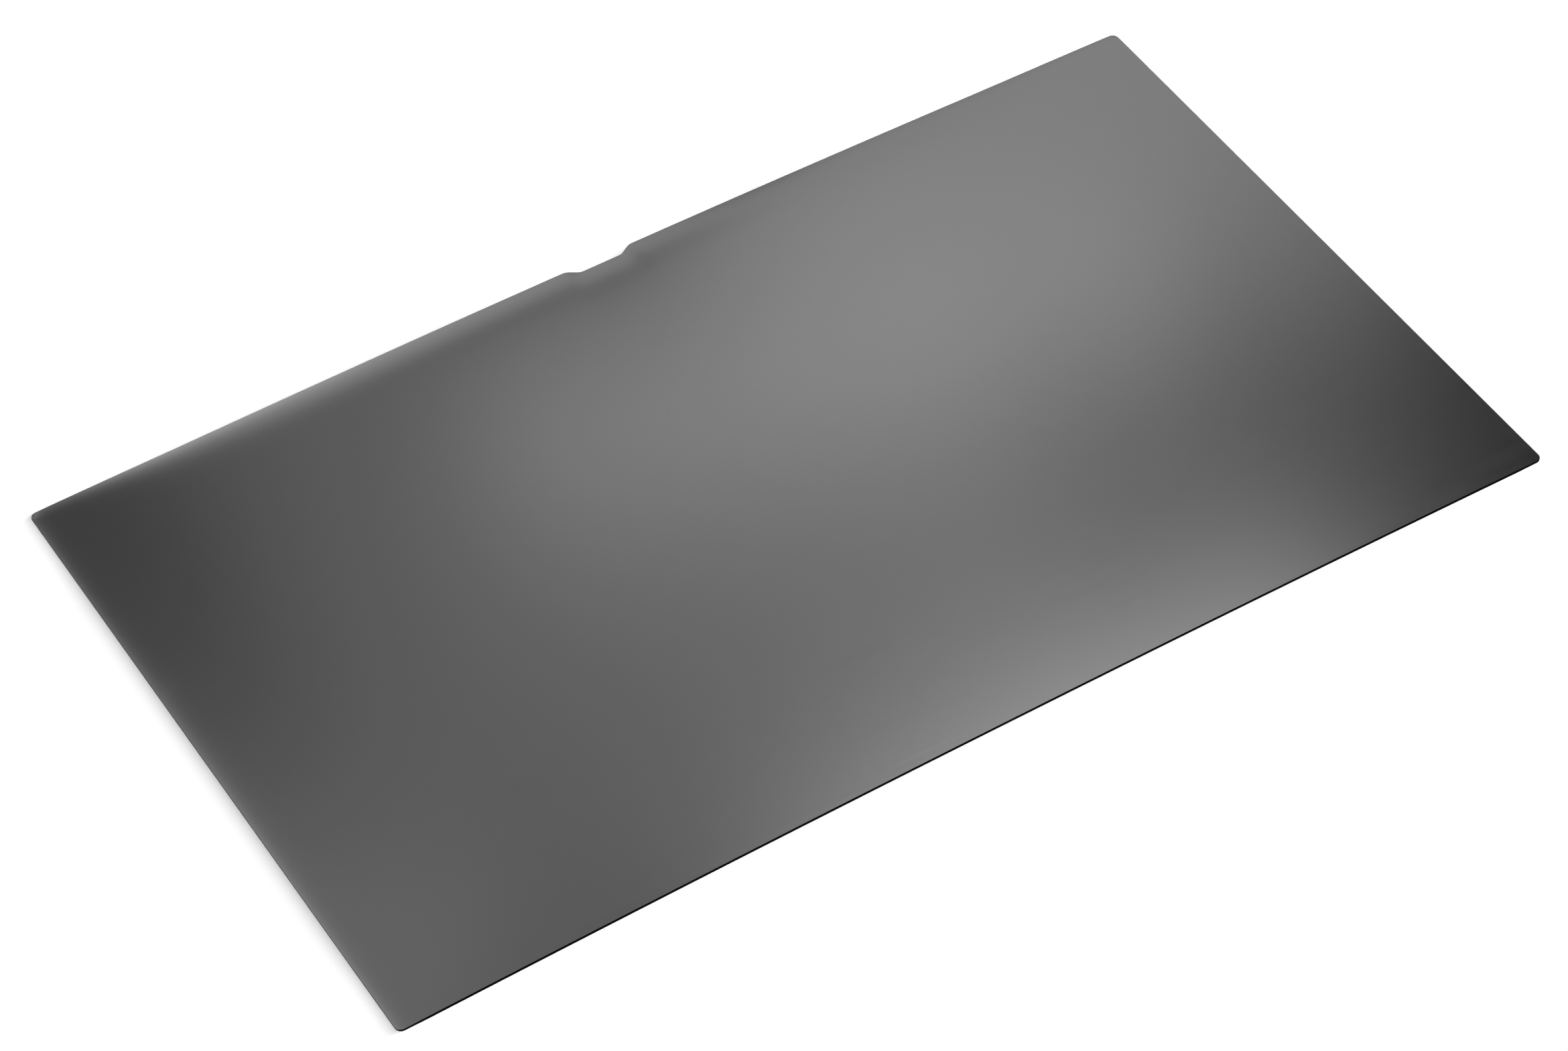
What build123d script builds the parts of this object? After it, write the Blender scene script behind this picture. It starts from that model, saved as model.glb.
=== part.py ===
from build123d import *

import os
from math import radians, sin, tan

# Laptop privacy filter: one thin, slightly bowed sheet of louvred film with a finger notch.
# The sheet lies front face up on its two short ends. +X runs along the long edge, +Y points
# to the notched edge and +Z is up. The origin is the middle of the outline, level with the
# lower edges of the two short ends. All lengths are in millimetres, and angles in degrees.

# Sheet: a filter for a 14 inch screen of 16:9
sheet_length = 310.0
sheet_width = 174.5
sheet_thickness = 0.53
corner_radius = 1.6
bow_rise = 2.04  # height of the middle of the underside above the two short ends

# Finger notch: a shallow trapezium with rounded corners, in the middle of one long edge
notch_floor = 10.0  # straight part of the floor, between its two arcs
notch_depth = 2.0
notch_flank_angle = 32.0  # between a flank and the long edge
notch_radius = 3.0  # the two arcs at the mouth and the two at the floor
arc_share = 0.49  # most of a flank that the arc at either end of it may take

# How far a cutting shape runs past what it cuts
overrun = 5.0


def sheet_outline():
    """The die-cut outline in plan: a rectangle with round corners and the finger notch."""
    half_length = sheet_length / 2
    half_width = sheet_width / 2
    flank_length = notch_depth / sin(radians(notch_flank_angle))
    arc_tangent = tan(radians(notch_flank_angle / 2))
    arc_radius = min(notch_radius, arc_share * flank_length / arc_tangent)
    floor_corner = notch_floor / 2 + arc_radius * arc_tangent
    mouth_corner = floor_corner + notch_depth / tan(radians(notch_flank_angle))
    floor_line = half_width - notch_depth

    corners = [
        ((-half_length, -half_width), corner_radius),
        ((half_length, -half_width), corner_radius),
        ((half_length, half_width), corner_radius),
        ((mouth_corner, half_width), arc_radius),
        ((floor_corner, floor_line), arc_radius),
        ((-floor_corner, floor_line), arc_radius),
        ((-mouth_corner, half_width), arc_radius),
        ((-half_length, half_width), corner_radius),
    ]
    points = [point for point, _ in corners]
    radii = [radius for _, radius in corners]
    return make_face(FilletPolyline(points, radius=radii, close=True))


def bowed_slab():
    """A slab of the sheet's thickness, bent to a shallow arch along X and larger than the outline."""
    bend_radius = (sheet_length**2 / 4 + bow_rise**2) / (2 * bow_rise)
    bend_centre = Pos(0, bow_rise - bend_radius)
    outer = bend_centre * Circle(bend_radius + sheet_thickness)
    inner = bend_centre * Circle(bend_radius)
    sheet_height = bow_rise + sheet_thickness
    strip = Rectangle(sheet_length + 2 * overrun, sheet_height + 2 * overrun)
    arch = (outer - inner) & (Pos(0, sheet_height / 2) * strip)
    return extrude(Plane.XZ * arch, amount=sheet_width / 2 + overrun, both=True)


def filter_sheet():
    """The whole filter: the bent slab trimmed to the outline, with square cut edges."""
    sheet_height = bow_rise + sheet_thickness
    blank = extrude(Pos(0, 0, -overrun) * sheet_outline(), amount=sheet_height + 2 * overrun)
    return (bowed_slab() & blank).solid()


os.makedirs("parts", exist_ok=True)
export_step(filter_sheet(), "parts/filter_sheet.step")
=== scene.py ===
from math import acos, cos, pi, radians, sin, tan

import bpy
import numpy as np
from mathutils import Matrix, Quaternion, Vector


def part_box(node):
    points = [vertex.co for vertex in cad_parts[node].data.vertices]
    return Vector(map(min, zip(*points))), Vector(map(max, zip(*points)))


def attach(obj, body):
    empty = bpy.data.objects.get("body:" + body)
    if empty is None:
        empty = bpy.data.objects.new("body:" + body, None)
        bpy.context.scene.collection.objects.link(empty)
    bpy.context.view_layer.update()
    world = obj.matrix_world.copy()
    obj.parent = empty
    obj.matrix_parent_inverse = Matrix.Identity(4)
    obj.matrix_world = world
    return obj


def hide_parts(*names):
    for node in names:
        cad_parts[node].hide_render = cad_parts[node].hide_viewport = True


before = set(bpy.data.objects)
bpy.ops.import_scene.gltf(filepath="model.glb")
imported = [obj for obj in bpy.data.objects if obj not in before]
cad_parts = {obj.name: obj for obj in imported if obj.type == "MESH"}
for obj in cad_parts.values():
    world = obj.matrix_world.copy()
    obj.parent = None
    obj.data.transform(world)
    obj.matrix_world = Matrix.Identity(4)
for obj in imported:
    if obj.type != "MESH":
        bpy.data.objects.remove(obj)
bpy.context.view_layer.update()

# Laptop privacy filter: a thin sheet of dark satin film that lies on its two short ends.
# All lengths are in metres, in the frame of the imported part: +X along the long edge, +Y towards
# the notched edge, +Z up. Azimuths go from -Y towards +X.

mm = 0.001

# Sheet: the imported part's box, with the thickness and the corners that it is cut to
low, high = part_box("filter_sheet")
half_length = (high.x - low.x) / 2
half_width = (high.y - low.y) / 2
sheet_height = high.z - low.z
sheet_thickness = 0.53 * mm
corner_radius = 1.6 * mm
bow_rise = sheet_height - sheet_thickness

# Finger notch in the middle of the far long edge
notch_floor = 10.0 * mm
notch_depth = 2.0 * mm
notch_flank_angle = radians(32.0)
notch_radius = 3.0 * mm

# Grid of the sheet's faces: its lines crowd towards the edges and the notch
first_inset = 0.10 * mm
inset_growth = 1.22
last_inset = 12.0 * mm
open_spacing = 4.0 * mm
notch_spacing = 0.4 * mm
notch_reach = 14.0 * mm
inset_samples = 81  # points of the far edge that a line inside it keeps its distance from

# Die-cut edge
cut_round = 0.02 * mm  # how far the front face drops over the first grid step
burr_and_painted_shade = 0.20 * mm  # how far the black cut hangs below the rear face, where the sheet lies clear: a die-cut burr that also serves as painted shade under the raised long edges

# Curl of the film at its edges
crease_tilt = radians(7.3)  # slope of the band along the far long edge, which bends down
crease_inset = 2.3 * mm  # from that edge to the middle of the soft crease
crease_width = 2.9 * mm
crease_end_inset = 0.5 * mm  # the same two at the short ends, where the crease nears the edge
crease_end_width = 1.45 * mm
crease_run = 46.0 * mm  # from a short end to where the crease is at its full inset
roll_tilt = radians(3.5)  # slope of the front face at the cut of the left short edge
roll_reach = 2.1 * mm

# Film, from its dark marks to its light ones
mark_range = (-1.2, 1.2)
film_dark = (0.003, 0.003, 0.0031, 1.0)
film_light = (0.009, 0.009, 0.0092, 1.0)
film_roughness = (0.189, 0.201)
film_ior = 1.5
film_bump = 0.001 * mm
noise_middle = 0.5
grain_features = (0.35 * mm, 0.35 * mm, 0.35 * mm)
grain_detail = 2.0

# Wipe marks: thin streaks along X, in patches
streak_features = (28.0 * mm, 1.1 * mm, 20.0 * mm)
streak_detail = 3.0
streak_noise = (0.30, 0.55)
streak_levels = (-1.0, 0.25)
patch_features = (70.0 * mm, 16.0 * mm, 60.0 * mm)
patch_detail = 1.0
patch_noise = (0.36, 0.60)
patch_levels = (0.15, 1.0)
wipe_whole = -78.0 * mm  # Y where the wipe marks are strongest
wipe_end = 5.0 * mm  # Y where they end

# Smudges and dust
smudge_middle = (118.0 * mm, 52.0 * mm, 1.5 * mm)
smudge_core = 12.0 * mm
smudge_reach = 52.0 * mm
smudge_features = (11.0 * mm, 9.0 * mm, 10.0 * mm)
smudge_detail = 3.0
dark_smudge_noise = (0.28, 0.44)
light_smudge_noise = (0.56, 0.72)
edge_smudge = 9.0 * mm  # from a short edge to where its smudges end
speck_spacing = 42.0 * mm
speck_radius = 0.9 * mm
speck_share = 0.25

# Cut edge, with the marks of the blade
cut_dark = (0.001, 0.001, 0.001, 1.0)
cut_light = (0.004, 0.004, 0.004, 1.0)
cut_roughness = (0.5, 0.7)
blade_features = (0.25 * mm, 0.25 * mm, 0.08 * mm)
blade_detail = 2.0
blade_noise = (0.3, 0.7)
blade_bump = 0.01 * mm

# Floor, which lies just clear of the sheet
floor_half = 8.0
floor_drop = 0.01 * mm
floor_colour = (0.8, 0.8, 0.8, 1.0)
floor_glow = 0.215

# Camera, in the photograph's frame of 2340 by 1568 pixels
image_width = 2340.0
camera_azimuth = radians(-32.08)
camera_elevation = radians(48.389)
camera_roll = radians(-0.113)
camera_distance = 1.1113
camera_target = Vector((-0.0199, -0.0019, 0.00053))
focal_length_pixels = 7119.3
axis_left_of_middle = 92.5  # pixels from the image's middle to the optical axis
sensor_width = 36.0
clip_start = 0.01
clip_end = 50.0

# Directions of the soft panels that the film mirrors, in the photograph's view and in views from elsewhere
panel_azimuth = radians(147.0)
panel_elevation = radians(48.0)
opposite_azimuth = panel_azimuth + pi
overhead_elevation = radians(72.0)
front_elevation = radians(45.0)

# Even lamps: their shares of the floor's brightness, and how wide they look
fill_share = 0.47
fill_angle = radians(8.0)
side_steps = [  # elevation and share of each lamp on the right
    (radians(7.5), 0.15),
    (radians(12.5), 0.10),
    (radians(18.5), 0.09),
    (radians(27.0), 0.06),
    (radians(40.0), 0.09),
]
side_angle = radians(7.0)

# Narrow lamps for spots of the floor
floor_lamp_distance = 1.2
floor_lamp_radius = 0.02

# Surroundings, as the camera and the gloss see them
horizon_whole = radians(20.0)  # elevation up to which they are white
horizon_end = radians(38.0)  # elevation above which they are dark
dark_level = 0.015
ceiling_whole = radians(58.0)  # angle from the panels' direction beyond which the ceiling is pale
ceiling_end = radians(28.0)  # angle within which it is dark
ceiling_level = 0.7
diffuse_level = 0.04  # what diffuse light sees, all round


def smooth_step(share):
    """0 below 0, 1 above 1 and a smooth climb between."""
    share = np.clip(share, 0.0, 1.0)
    return share * share * (3.0 - 2.0 * share)


def edge_insets():
    """Distances of the grid lines from an edge, each step wider than the one before."""
    insets = [0.0, first_inset]
    while insets[-1] * inset_growth < last_inset:
        insets.append(insets[-1] * inset_growth)
    return np.array(insets)


def far_edge(x):
    """The far long edge in plan: a straight line with the rounded trapezium of the notch in it."""
    arc_run = notch_radius * sin(notch_flank_angle)
    arc_drop = notch_radius * (1.0 - cos(notch_flank_angle))
    slope = tan(notch_flank_angle)
    floor_end = notch_floor / 2
    flank_run = (notch_depth - 2.0 * arc_drop) / slope
    mouth_end = floor_end + 2.0 * arc_run + flank_run
    across = np.abs(x)
    floor_arc = notch_radius - np.sqrt(notch_radius**2 - np.clip(across - floor_end, 0.0, arc_run) ** 2)
    flank = slope * np.clip(across - floor_end - arc_run, 0.0, flank_run)
    to_mouth = np.clip(mouth_end - across, 0.0, arc_run)
    mouth_arc = np.sqrt(notch_radius**2 - to_mouth**2) - notch_radius + arc_drop
    return half_width - notch_depth + floor_arc + flank + mouth_arc


def inset_far_edge(x, inset):
    """The line that runs at one distance inside the far long edge and follows the notch."""
    steps = np.linspace(-1.0, 1.0, inset_samples)
    near = far_edge(x[:, None] + inset * steps[None, :])
    return (near - inset * np.sqrt(1.0 - steps**2)[None, :]).min(axis=1)


def grid_columns(insets):
    """X of the grid lines across the sheet."""
    open_half = np.arange(notch_reach + open_spacing, half_length - last_inset, open_spacing)
    notch = np.arange(-notch_reach, notch_reach + notch_spacing / 2, notch_spacing)
    return np.concatenate([
        insets - half_length, -open_half[::-1], notch, open_half, half_length - insets[::-1],
    ])


def sheet_grid():
    """Plan of the grid: x, y and the distance from the far edge, for every row and column."""
    insets = edge_insets()
    columns = grid_columns(insets)
    middle_end = half_width - last_inset - open_spacing
    middle = np.arange(-middle_end, middle_end, open_spacing)
    near_rows = np.repeat((insets - half_width)[:, None], len(columns), axis=1)
    middle_rows = np.repeat(middle[:, None], len(columns), axis=1)
    far_rows = np.array([inset_far_edge(columns, inset) for inset in insets[::-1]])
    far_insets = np.repeat(insets[::-1][:, None], len(columns), axis=1)
    y = np.concatenate([near_rows, middle_rows, far_rows])
    x = np.repeat(columns[None, :], len(y), axis=0)
    from_far = np.concatenate([half_width - near_rows, half_width - middle_rows, far_insets])
    return x, y, from_far


def round_corners(x, y):
    """Pulls the square corners of the grid in to quarter circles."""
    past_x = (np.abs(x) - half_length + corner_radius) / corner_radius
    past_y = (np.abs(y) - half_width + corner_radius) / corner_radius
    in_corner = (past_x > 0.0) & (past_y > 0.0)
    reach = np.hypot(np.where(in_corner, past_x, 1.0), np.where(in_corner, past_y, 0.0))
    scale = np.where(in_corner, np.maximum(past_x, past_y) / reach, 1.0)
    round_x = np.sign(x) * (half_length - corner_radius * (1.0 - past_x * scale))
    round_y = np.sign(y) * (half_width - corner_radius * (1.0 - past_y * scale))
    return np.where(in_corner, round_x, x), np.where(in_corner, round_y, y)


def bow(x):
    """Height of the underside: the arc of a circle from one short end to the other."""
    radius = (half_length**2 + bow_rise**2) / (2.0 * bow_rise)
    return np.sqrt(radius**2 - x**2) - radius + bow_rise


def far_droop(x, from_far):
    """How far the band along the far long edge hangs down, past a soft crease."""
    from_end = half_length - np.abs(x)
    along = smooth_step(from_end / crease_run)
    inset = crease_end_inset + (crease_inset - crease_end_inset) * along
    width = crease_end_width + (crease_width - crease_end_width) * along
    return crease_tilt * width * np.log1p(np.exp((inset - from_far) / width))


def left_roll(x):
    """How far the front face rolls down towards the cut of the left short edge."""
    from_left = x + half_length
    return roll_tilt * roll_reach * np.exp(-from_left / roll_reach)


def sheet_points(x, y, from_far):
    """Points of the front face, row by row, and then those of the rear face."""
    on_long_edge = np.zeros(x.shape)
    on_long_edge[[0, -1], :] = 1.0
    rear_z = bow(x) - far_droop(x, from_far)
    front_z = rear_z + sheet_thickness - left_roll(x) - cut_round * on_long_edge
    # Along the long edges the black cut hangs below the rear face: a burr, and painted shade under the
    # raised edge as well.
    rear_z = np.maximum(rear_z - burr_and_painted_shade * on_long_edge, 0.0)
    front = np.stack([x, y, front_z], axis=-1).reshape(-1, 3)
    rear = np.stack([x, y, rear_z], axis=-1).reshape(-1, 3)
    return np.concatenate([front, rear]).tolist()


def grid_rim(number):
    """Numbers of the points round the rim of the grid, anticlockwise."""
    return np.concatenate([number[0], number[1:, -1], number[-1, -2::-1], number[-2:0:-1, 0]])


def sheet_faces(number, rim):
    """Faces of the front, the rear and the edge round them, with 1 for each cut face and 0 for film."""
    quads = np.stack([number[:-1, :-1], number[:-1, 1:], number[1:, 1:], number[1:, :-1]], axis=-1)
    front = quads.reshape(-1, 4)
    rear = front[:, ::-1] + number.size
    after = np.roll(rim, -1)
    edge = np.stack([after, rim, rim + number.size, after + number.size], axis=-1)
    cut_quads = np.zeros(quads.shape[:2], dtype=np.int32)
    cut_quads[[0, -1], :] = 1
    is_cut = np.concatenate([cut_quads.ravel(), cut_quads.ravel(), np.ones(len(rim), dtype=np.int32)])
    return np.concatenate([front, rear, edge]).tolist(), is_cut


def sharpen(mesh, lines, count):
    """Marks the edges along some lines of the grid as sharp, on the front face and on the rear face."""
    lines = [set(line.tolist()) for line in lines]
    for edge in mesh.edges:
        first, second = [vertex % count for vertex in edge.vertices]
        on_line = any(first in line and second in line for line in lines)
        edge.use_edge_sharp = on_line and first != second


def add_object(name, data):
    """A new object in the scene."""
    item = bpy.data.objects.new(name, data)
    bpy.context.scene.collection.objects.link(item)
    return item


def filter_sheet():
    """The whole filter as one closed mesh: front face, rear face and the cut edge round them."""
    square_x, square_y, from_far = sheet_grid()
    x, y = round_corners(square_x, square_y)
    number = np.arange(x.size).reshape(x.shape)
    rim = grid_rim(number)
    faces, is_cut = sheet_faces(number, rim)
    mesh = bpy.data.meshes.new("filter_sheet_film")
    mesh.from_pydata(sheet_points(x, y, from_far), [], faces)
    mesh.materials.append(film_material())
    mesh.materials.append(cut_edge_material())
    mesh.polygons.foreach_set("material_index", is_cut)
    mesh.polygons.foreach_set("use_smooth", np.ones(len(faces), dtype=bool))
    sharpen(mesh, [rim, number[1], number[-2]], number.size)
    mesh.validate()
    mesh.update()
    return add_object("filter_sheet_film", mesh)


def new_material(name):
    """A new material, its node tree and the tree's main shader."""
    material = bpy.data.materials.new(name)
    material.use_nodes = True
    tree = material.node_tree
    return material, tree, tree.nodes["Principled BSDF"]


def axis(tree, place, name):
    """One coordinate of a place."""
    axes = tree.nodes.new("ShaderNodeSeparateXYZ")
    tree.links.new(place, axes.inputs[0])
    return axes.outputs[name]


def noise(tree, place, features, detail):
    """Soft noise about its middle value, with features of the given size along X, Y and Z."""
    stretch = tree.nodes.new("ShaderNodeMapping")
    stretch.inputs["Scale"].default_value = [1.0 / size for size in features]
    tree.links.new(place, stretch.inputs["Vector"])
    texture = tree.nodes.new("ShaderNodeTexNoise")
    texture.inputs["Scale"].default_value = 1.0
    texture.inputs["Detail"].default_value = detail
    tree.links.new(stretch.outputs["Vector"], texture.inputs["Vector"])
    return texture.outputs["Fac"]


def remap(tree, value, across, levels):
    """A smooth change from the first level to the second, while the value goes across a range."""
    ramp = tree.nodes.new("ShaderNodeMapRange")
    ramp.interpolation_type = "SMOOTHSTEP"
    ramp.inputs["From Min"].default_value = across[0]
    ramp.inputs["From Max"].default_value = across[1]
    ramp.inputs["To Min"].default_value = levels[0]
    ramp.inputs["To Max"].default_value = levels[1]
    tree.links.new(value, ramp.inputs["Value"])
    return ramp.outputs["Result"]


def combine(tree, operation, first, second=0.0):
    """One value, or two put together, by one operation. The second may be a plain number."""
    node = tree.nodes.new("ShaderNodeMath")
    node.operation = operation
    tree.links.new(first, node.inputs[0])
    if isinstance(second, float):
        node.inputs[1].default_value = second
    else:
        tree.links.new(second, node.inputs[1])
    return node.outputs[0]


def mix_colours(tree, first, second, share):
    """A change from the first colour to the second, as the share goes from 0 to 1."""
    mix = tree.nodes.new("ShaderNodeMix")
    mix.data_type = "RGBA"
    mix.inputs["A"].default_value = first
    mix.inputs["B"].default_value = second
    tree.links.new(share, mix.inputs["Factor"])
    return mix.outputs["Result"]


def bump(tree, field, height, under=None):
    """The normal of a surface that a field raises by a height, on top of another bump if one is given."""
    node = tree.nodes.new("ShaderNodeBump")
    node.inputs["Distance"].default_value = height
    tree.links.new(field, node.inputs["Height"])
    if under is not None:
        tree.links.new(under, node.inputs["Normal"])
    return node.outputs["Normal"]


def seen_rays(tree):
    """1 for rays of the camera, of gloss and through glass, and 0 for diffuse light."""
    rays = tree.nodes.new("ShaderNodeLightPath").outputs
    camera_or_gloss = combine(tree, "MAXIMUM", rays["Is Camera Ray"], rays["Is Glossy Ray"])
    return combine(tree, "MAXIMUM", camera_or_gloss, rays["Is Transmission Ray"])


def wipe_marks(tree, place):
    """Thin dark streaks along X in a light haze, left by a cloth on the near part of the sheet."""
    streaks = remap(tree, noise(tree, place, streak_features, streak_detail), streak_noise, streak_levels)
    patches = remap(tree, noise(tree, place, patch_features, patch_detail), patch_noise, patch_levels)
    near = remap(tree, axis(tree, place, "Y"), (wipe_whole, wipe_end), (1.0, 0.0))
    return combine(tree, "MULTIPLY", combine(tree, "MULTIPLY", streaks, patches), near)


def blotches(tree, place):
    """Sparse soft spots: towards -1 where they are dark, towards 1 where they are light and 0 between."""
    field = noise(tree, place, smudge_features, smudge_detail)
    dark = remap(tree, field, dark_smudge_noise, (-1.0, 0.0))
    light = remap(tree, field, light_smudge_noise, (0.0, 1.0))
    return combine(tree, "ADD", dark, light)


def smudges(tree, place):
    """Blotches near the far right corner, by which the sheet is held, and along the two short edges."""
    away = tree.nodes.new("ShaderNodeVectorMath")
    away.operation = "DISTANCE"
    away.inputs[1].default_value = smudge_middle
    tree.links.new(place, away.inputs[0])
    held = remap(tree, away.outputs["Value"], (smudge_core, smudge_reach), (1.0, 0.0))
    across = combine(tree, "ABSOLUTE", axis(tree, place, "X"))
    short_edges = remap(tree, across, (half_length - edge_smudge, half_length), (0.0, 1.0))
    where = combine(tree, "MAXIMUM", held, short_edges)
    return combine(tree, "MULTIPLY", blotches(tree, place), where)


def specks(tree, place):
    """A few dark dust specks: 1 at their middle and 0 elsewhere."""
    cells = tree.nodes.new("ShaderNodeTexVoronoi")
    cells.voronoi_dimensions = "2D"
    cells.inputs["Scale"].default_value = 1.0 / speck_spacing
    tree.links.new(place, cells.inputs["Vector"])
    middle = remap(tree, cells.outputs["Distance"], (0.0, speck_radius / speck_spacing), (1.0, 0.0))
    lot = tree.nodes.new("ShaderNodeSeparateColor")
    tree.links.new(cells.outputs["Color"], lot.inputs[0])
    drawn = combine(tree, "GREATER_THAN", lot.outputs["Red"], 1.0 - speck_share)
    return combine(tree, "MULTIPLY", middle, drawn)


def film_material():
    """Near-black satin film with a fine grain, wipe marks, smudges and a few specks of dust."""
    material, tree, shader = new_material("louvre_film")
    place = tree.nodes.new("ShaderNodeTexCoord").outputs["Object"]
    grain = noise(tree, place, grain_features, grain_detail)
    wipes = wipe_marks(tree, place)
    marks = combine(tree, "ADD", wipes, smudges(tree, place))
    marks = combine(tree, "ADD", marks, combine(tree, "SUBTRACT", grain, noise_middle))
    marks = combine(tree, "SUBTRACT", marks, specks(tree, place))
    colour = mix_colours(tree, film_dark, film_light, remap(tree, marks, mark_range, (0.0, 1.0)))
    normal = bump(tree, grain, film_bump, under=bump(tree, wipes, film_bump))
    tree.links.new(colour, shader.inputs["Base Color"])
    tree.links.new(remap(tree, marks, mark_range, film_roughness), shader.inputs["Roughness"])
    tree.links.new(normal, shader.inputs["Normal"])
    shader.inputs["IOR"].default_value = film_ior
    return material


def cut_edge_material():
    """The black die-cut edge of the film, dull, with fine marks of the blade."""
    material, tree, shader = new_material("louvre_film_cut_edge")
    place = tree.nodes.new("ShaderNodeTexCoord").outputs["Object"]
    blade = noise(tree, place, blade_features, blade_detail)
    tree.links.new(mix_colours(tree, cut_dark, cut_light, blade), shader.inputs["Base Color"])
    tree.links.new(remap(tree, blade, blade_noise, cut_roughness), shader.inputs["Roughness"])
    tree.links.new(bump(tree, blade, blade_bump), shader.inputs["Normal"])
    shader.inputs["Specular IOR Level"].default_value = 0.0
    return material


def floor_material():
    """A plain pale floor, which a viewer and reflections see as white outside the shadow."""
    material, tree, shader = new_material("pale_floor")
    tree.nodes.remove(shader)
    diffuse = tree.nodes.new("ShaderNodeBsdfDiffuse")
    diffuse.inputs["Color"].default_value = floor_colour
    glow = tree.nodes.new("ShaderNodeEmission")
    tree.links.new(combine(tree, "MULTIPLY", seen_rays(tree), floor_glow), glow.inputs["Strength"])
    both = tree.nodes.new("ShaderNodeAddShader")
    tree.links.new(diffuse.outputs[0], both.inputs[0])
    tree.links.new(glow.outputs[0], both.inputs[1])
    tree.links.new(both.outputs[0], tree.nodes["Material Output"].inputs["Surface"])
    return material


def floor():
    """The plain floor that the sheet lies on."""
    signs = [(-1, -1), (1, -1), (1, 1), (-1, 1)]
    corners = [(floor_half * x, floor_half * y, -floor_drop) for x, y in signs]
    mesh = bpy.data.meshes.new("floor")
    mesh.from_pydata(corners, [], [(0, 1, 2, 3)])
    mesh.materials.append(floor_material())
    piece = add_object("floor", mesh)
    return piece


def towards(azimuth, elevation):
    """The direction of a place above the sheet."""
    return Vector((sin(azimuth) * cos(elevation), -cos(azimuth) * cos(elevation), sin(elevation)))


to_panels = towards(panel_azimuth, panel_elevation)


def aim(holder, back, roll=0.0):
    """Turns a lamp or the camera to face away from the direction at its back, rolled about that line."""
    holder.rotation_mode = "QUATERNION"
    holder.rotation_quaternion = back.to_track_quat("Z", "Y") @ Quaternion((0.0, 0.0, 1.0), roll)


def softbox(name, facing, distance, right, up, width, height, radiance, roll):
    """A soft panel that shows in the sheet's gloss, with its place and size given at one metre."""
    to_right = Vector((facing.y, -facing.x, 0.0)).normalized()
    to_top = to_right.cross(facing)
    lamp = bpy.data.lights.new(name, "AREA")
    lamp.shape = "RECTANGLE"
    lamp.size = width * distance
    lamp.size_y = height * distance
    lamp.energy = radiance * pi * lamp.size * lamp.size_y
    panel = add_object(name, lamp)
    panel.location = (facing + to_right * right + to_top * up) * distance
    aim(panel, facing, -roll)
    panel.visible_camera = False
    panel.visible_diffuse = False


def mirrored_panels():
    """The panels that the sheet mirrors in the photograph's view, and two more for views from elsewhere."""
    softbox("panel_top", to_panels, distance=1.26, right=-0.045, up=0.080,
            width=0.360, height=0.285, radiance=2.05, roll=radians(-18.0))
    softbox("panel_low", to_panels, distance=1.28, right=0.115, up=-0.225,
            width=0.315, height=0.265, radiance=3.85, roll=radians(-3.0))
    softbox("panel_key", to_panels, distance=1.30, right=0.155, up=0.165,
            width=0.295, height=0.175, radiance=10.3, roll=radians(-38.0))
    softbox("panel_strip", to_panels, distance=1.32, right=0.025, up=-0.050,
            width=0.320, height=0.055, radiance=5.9, roll=radians(-18.0))
    softbox("panel_left_end", to_panels, distance=1.34, right=-0.300, up=-0.225,
            width=0.195, height=0.075, radiance=10.5, roll=radians(-48.0))
    softbox("panel_far_left", to_panels, distance=1.36, right=-0.300, up=0.355,
            width=0.210, height=0.420, radiance=2.95, roll=radians(21.0))
    softbox("panel_left", to_panels, distance=1.38, right=-0.195, up=-0.195,
            width=0.270, height=0.215, radiance=4.0, roll=radians(-31.0))
    softbox("panel_left_rim", to_panels, distance=1.40, right=-0.415, up=0.255,
            width=0.225, height=0.395, radiance=3.9, roll=radians(-31.0))
    softbox("panel_corner", to_panels, distance=1.42, right=-0.425, up=-0.060,
            width=0.060, height=0.070, radiance=11.5, roll=radians(8.0))
    softbox("panel_overhead", towards(opposite_azimuth, overhead_elevation),
            distance=1.50, right=0.0, up=0.0, width=0.50, height=0.50, radiance=1.5, roll=0.0)
    softbox("panel_front", towards(opposite_azimuth, front_elevation),
            distance=1.54, right=0.0, up=0.0, width=0.45, height=0.26, radiance=2.0, roll=0.0)


def sun(name, azimuth, elevation, share, angle):
    """An even lamp, hidden from gloss, that gives a white floor this share of its brightness."""
    lamp = bpy.data.lights.new(name, "SUN")
    lamp.energy = share * pi / sin(elevation)
    lamp.angle = angle
    holder = add_object(name, lamp)
    aim(holder, towards(azimuth, elevation))
    holder.visible_glossy = False


def even_lamps():
    """The fill from the camera's side and the lamps on the right.

    A lamp on the right lies level with the long edges as the camera sees them, so that only the left
    end throws a shadow that shows.
    """
    sun("front_fill", camera_azimuth, camera_elevation, fill_share, fill_angle)
    for step, (elevation, share) in enumerate(side_steps):
        azimuth = acos(tan(elevation) * cos(camera_azimuth) / tan(camera_elevation))
        sun("side_%d" % step, azimuth, elevation, share, side_angle)


def floor_lamp(name, lit, x, y, spread, share):
    """A narrow lamp behind the sheet that thins the shadow on one spot, and lights only the floor."""
    lamp = bpy.data.lights.new(name, "SPOT")
    lamp.energy = share * 4.0 * pi**2 * floor_lamp_distance**2 / sin(panel_elevation)
    lamp.spot_size = spread
    lamp.spot_blend = 1.0
    lamp.shadow_soft_size = floor_lamp_radius
    holder = add_object(name, lamp)
    holder.location = Vector((x, y, 0.0)) + to_panels * floor_lamp_distance
    aim(holder, to_panels)
    holder.visible_glossy = False
    receivers = bpy.data.collections.new(name + "_receivers")
    receivers.objects.link(lit)
    holder.light_linking.receiver_collection = receivers


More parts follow.
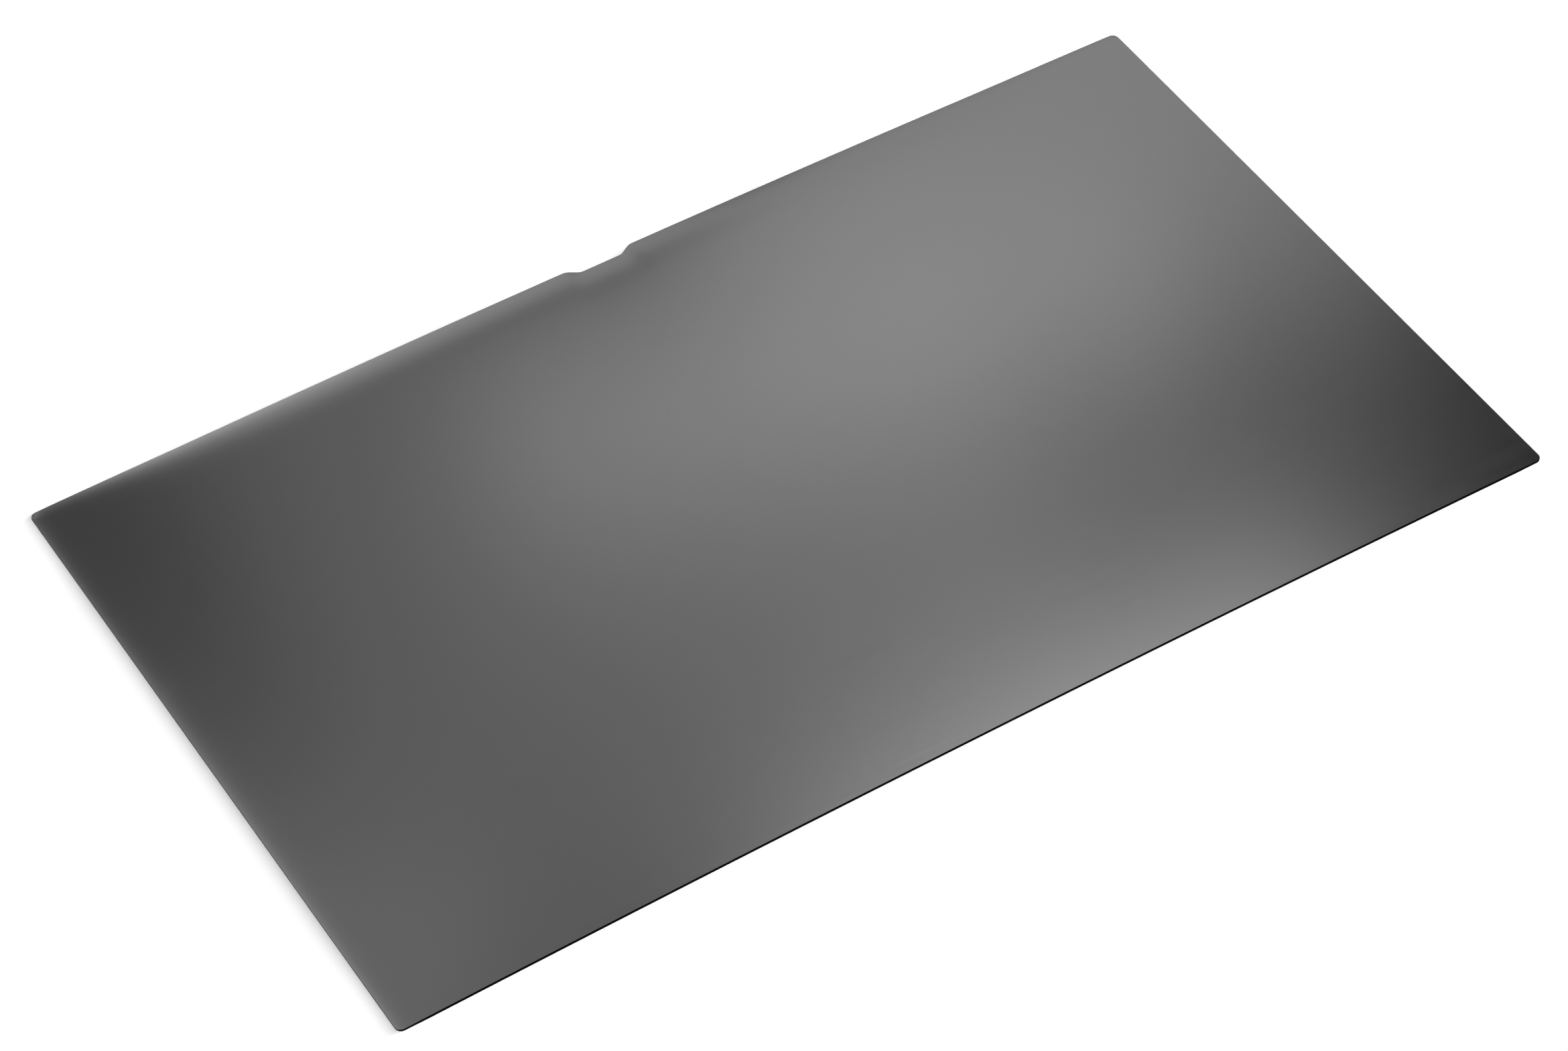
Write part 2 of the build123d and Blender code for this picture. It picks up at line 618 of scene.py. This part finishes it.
def floor_lamps(lit):
    """Lamps for the floor seen through the notch and at both ends of the left edge's shadow."""
    floor_lamp("notch_lamp", lit, x=2.0 * mm, y=half_width + 0.5 * mm,
               spread=radians(2.0), share=0.7)
    floor_lamp("far_tip_lamp", lit, x=-half_length - 3.0 * mm, y=half_width + 1.5 * mm,
               spread=radians(1.1), share=0.45)
    floor_lamp("near_tip_lamp", lit, x=-half_length - 2.5 * mm, y=-half_width - 1.5 * mm,
               spread=radians(1.1), share=0.35)


def studio_world():
    """A white horizon under a pale ceiling, dark behind the panels. Diffuse light sees an even grey."""
    world = bpy.data.worlds.new("studio")
    bpy.context.scene.world = world
    world.use_nodes = True
    tree = world.node_tree
    direction = tree.nodes.new("ShaderNodeTexCoord").outputs["Generated"]
    heights = (sin(horizon_whole), sin(horizon_end))
    horizon = remap(tree, axis(tree, direction, "Z"), heights, (1.0, dark_level))
    near_panels = tree.nodes.new("ShaderNodeVectorMath")
    near_panels.operation = "DOT_PRODUCT"
    near_panels.inputs[1].default_value = to_panels
    tree.links.new(direction, near_panels.inputs[0])
    ceiling_reach = (cos(ceiling_whole), cos(ceiling_end))
    ceiling = remap(tree, near_panels.outputs["Value"], ceiling_reach, (ceiling_level, 0.0))
    strength = tree.nodes.new("ShaderNodeMix")
    strength.data_type = "FLOAT"
    strength.inputs["A"].default_value = diffuse_level
    tree.links.new(seen_rays(tree), strength.inputs["Factor"])
    tree.links.new(combine(tree, "MAXIMUM", horizon, ceiling), strength.inputs["B"])
    background = tree.nodes["Background"]
    background.inputs["Color"].default_value = (1.0, 1.0, 1.0, 1.0)
    tree.links.new(strength.outputs["Result"], background.inputs["Strength"])


def camera():
    """The camera at the photograph's viewing angle."""
    data = bpy.data.cameras.new("camera")
    data.sensor_width = sensor_width
    data.lens = focal_length_pixels / image_width * sensor_width
    data.shift_x = axis_left_of_middle / image_width
    data.clip_start = clip_start
    data.clip_end = clip_end
    holder = add_object("camera", data)
    back = towards(camera_azimuth, camera_elevation)
    holder.location = camera_target + back * camera_distance
    aim(holder, back, camera_roll)
    bpy.context.scene.camera = holder


bpy.context.scene.view_settings.view_transform = "Standard"
camera()
floor_lamps(floor())
mirrored_panels()
even_lamps()
studio_world()
sheet = filter_sheet()
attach(sheet, "root")
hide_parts("filter_sheet")
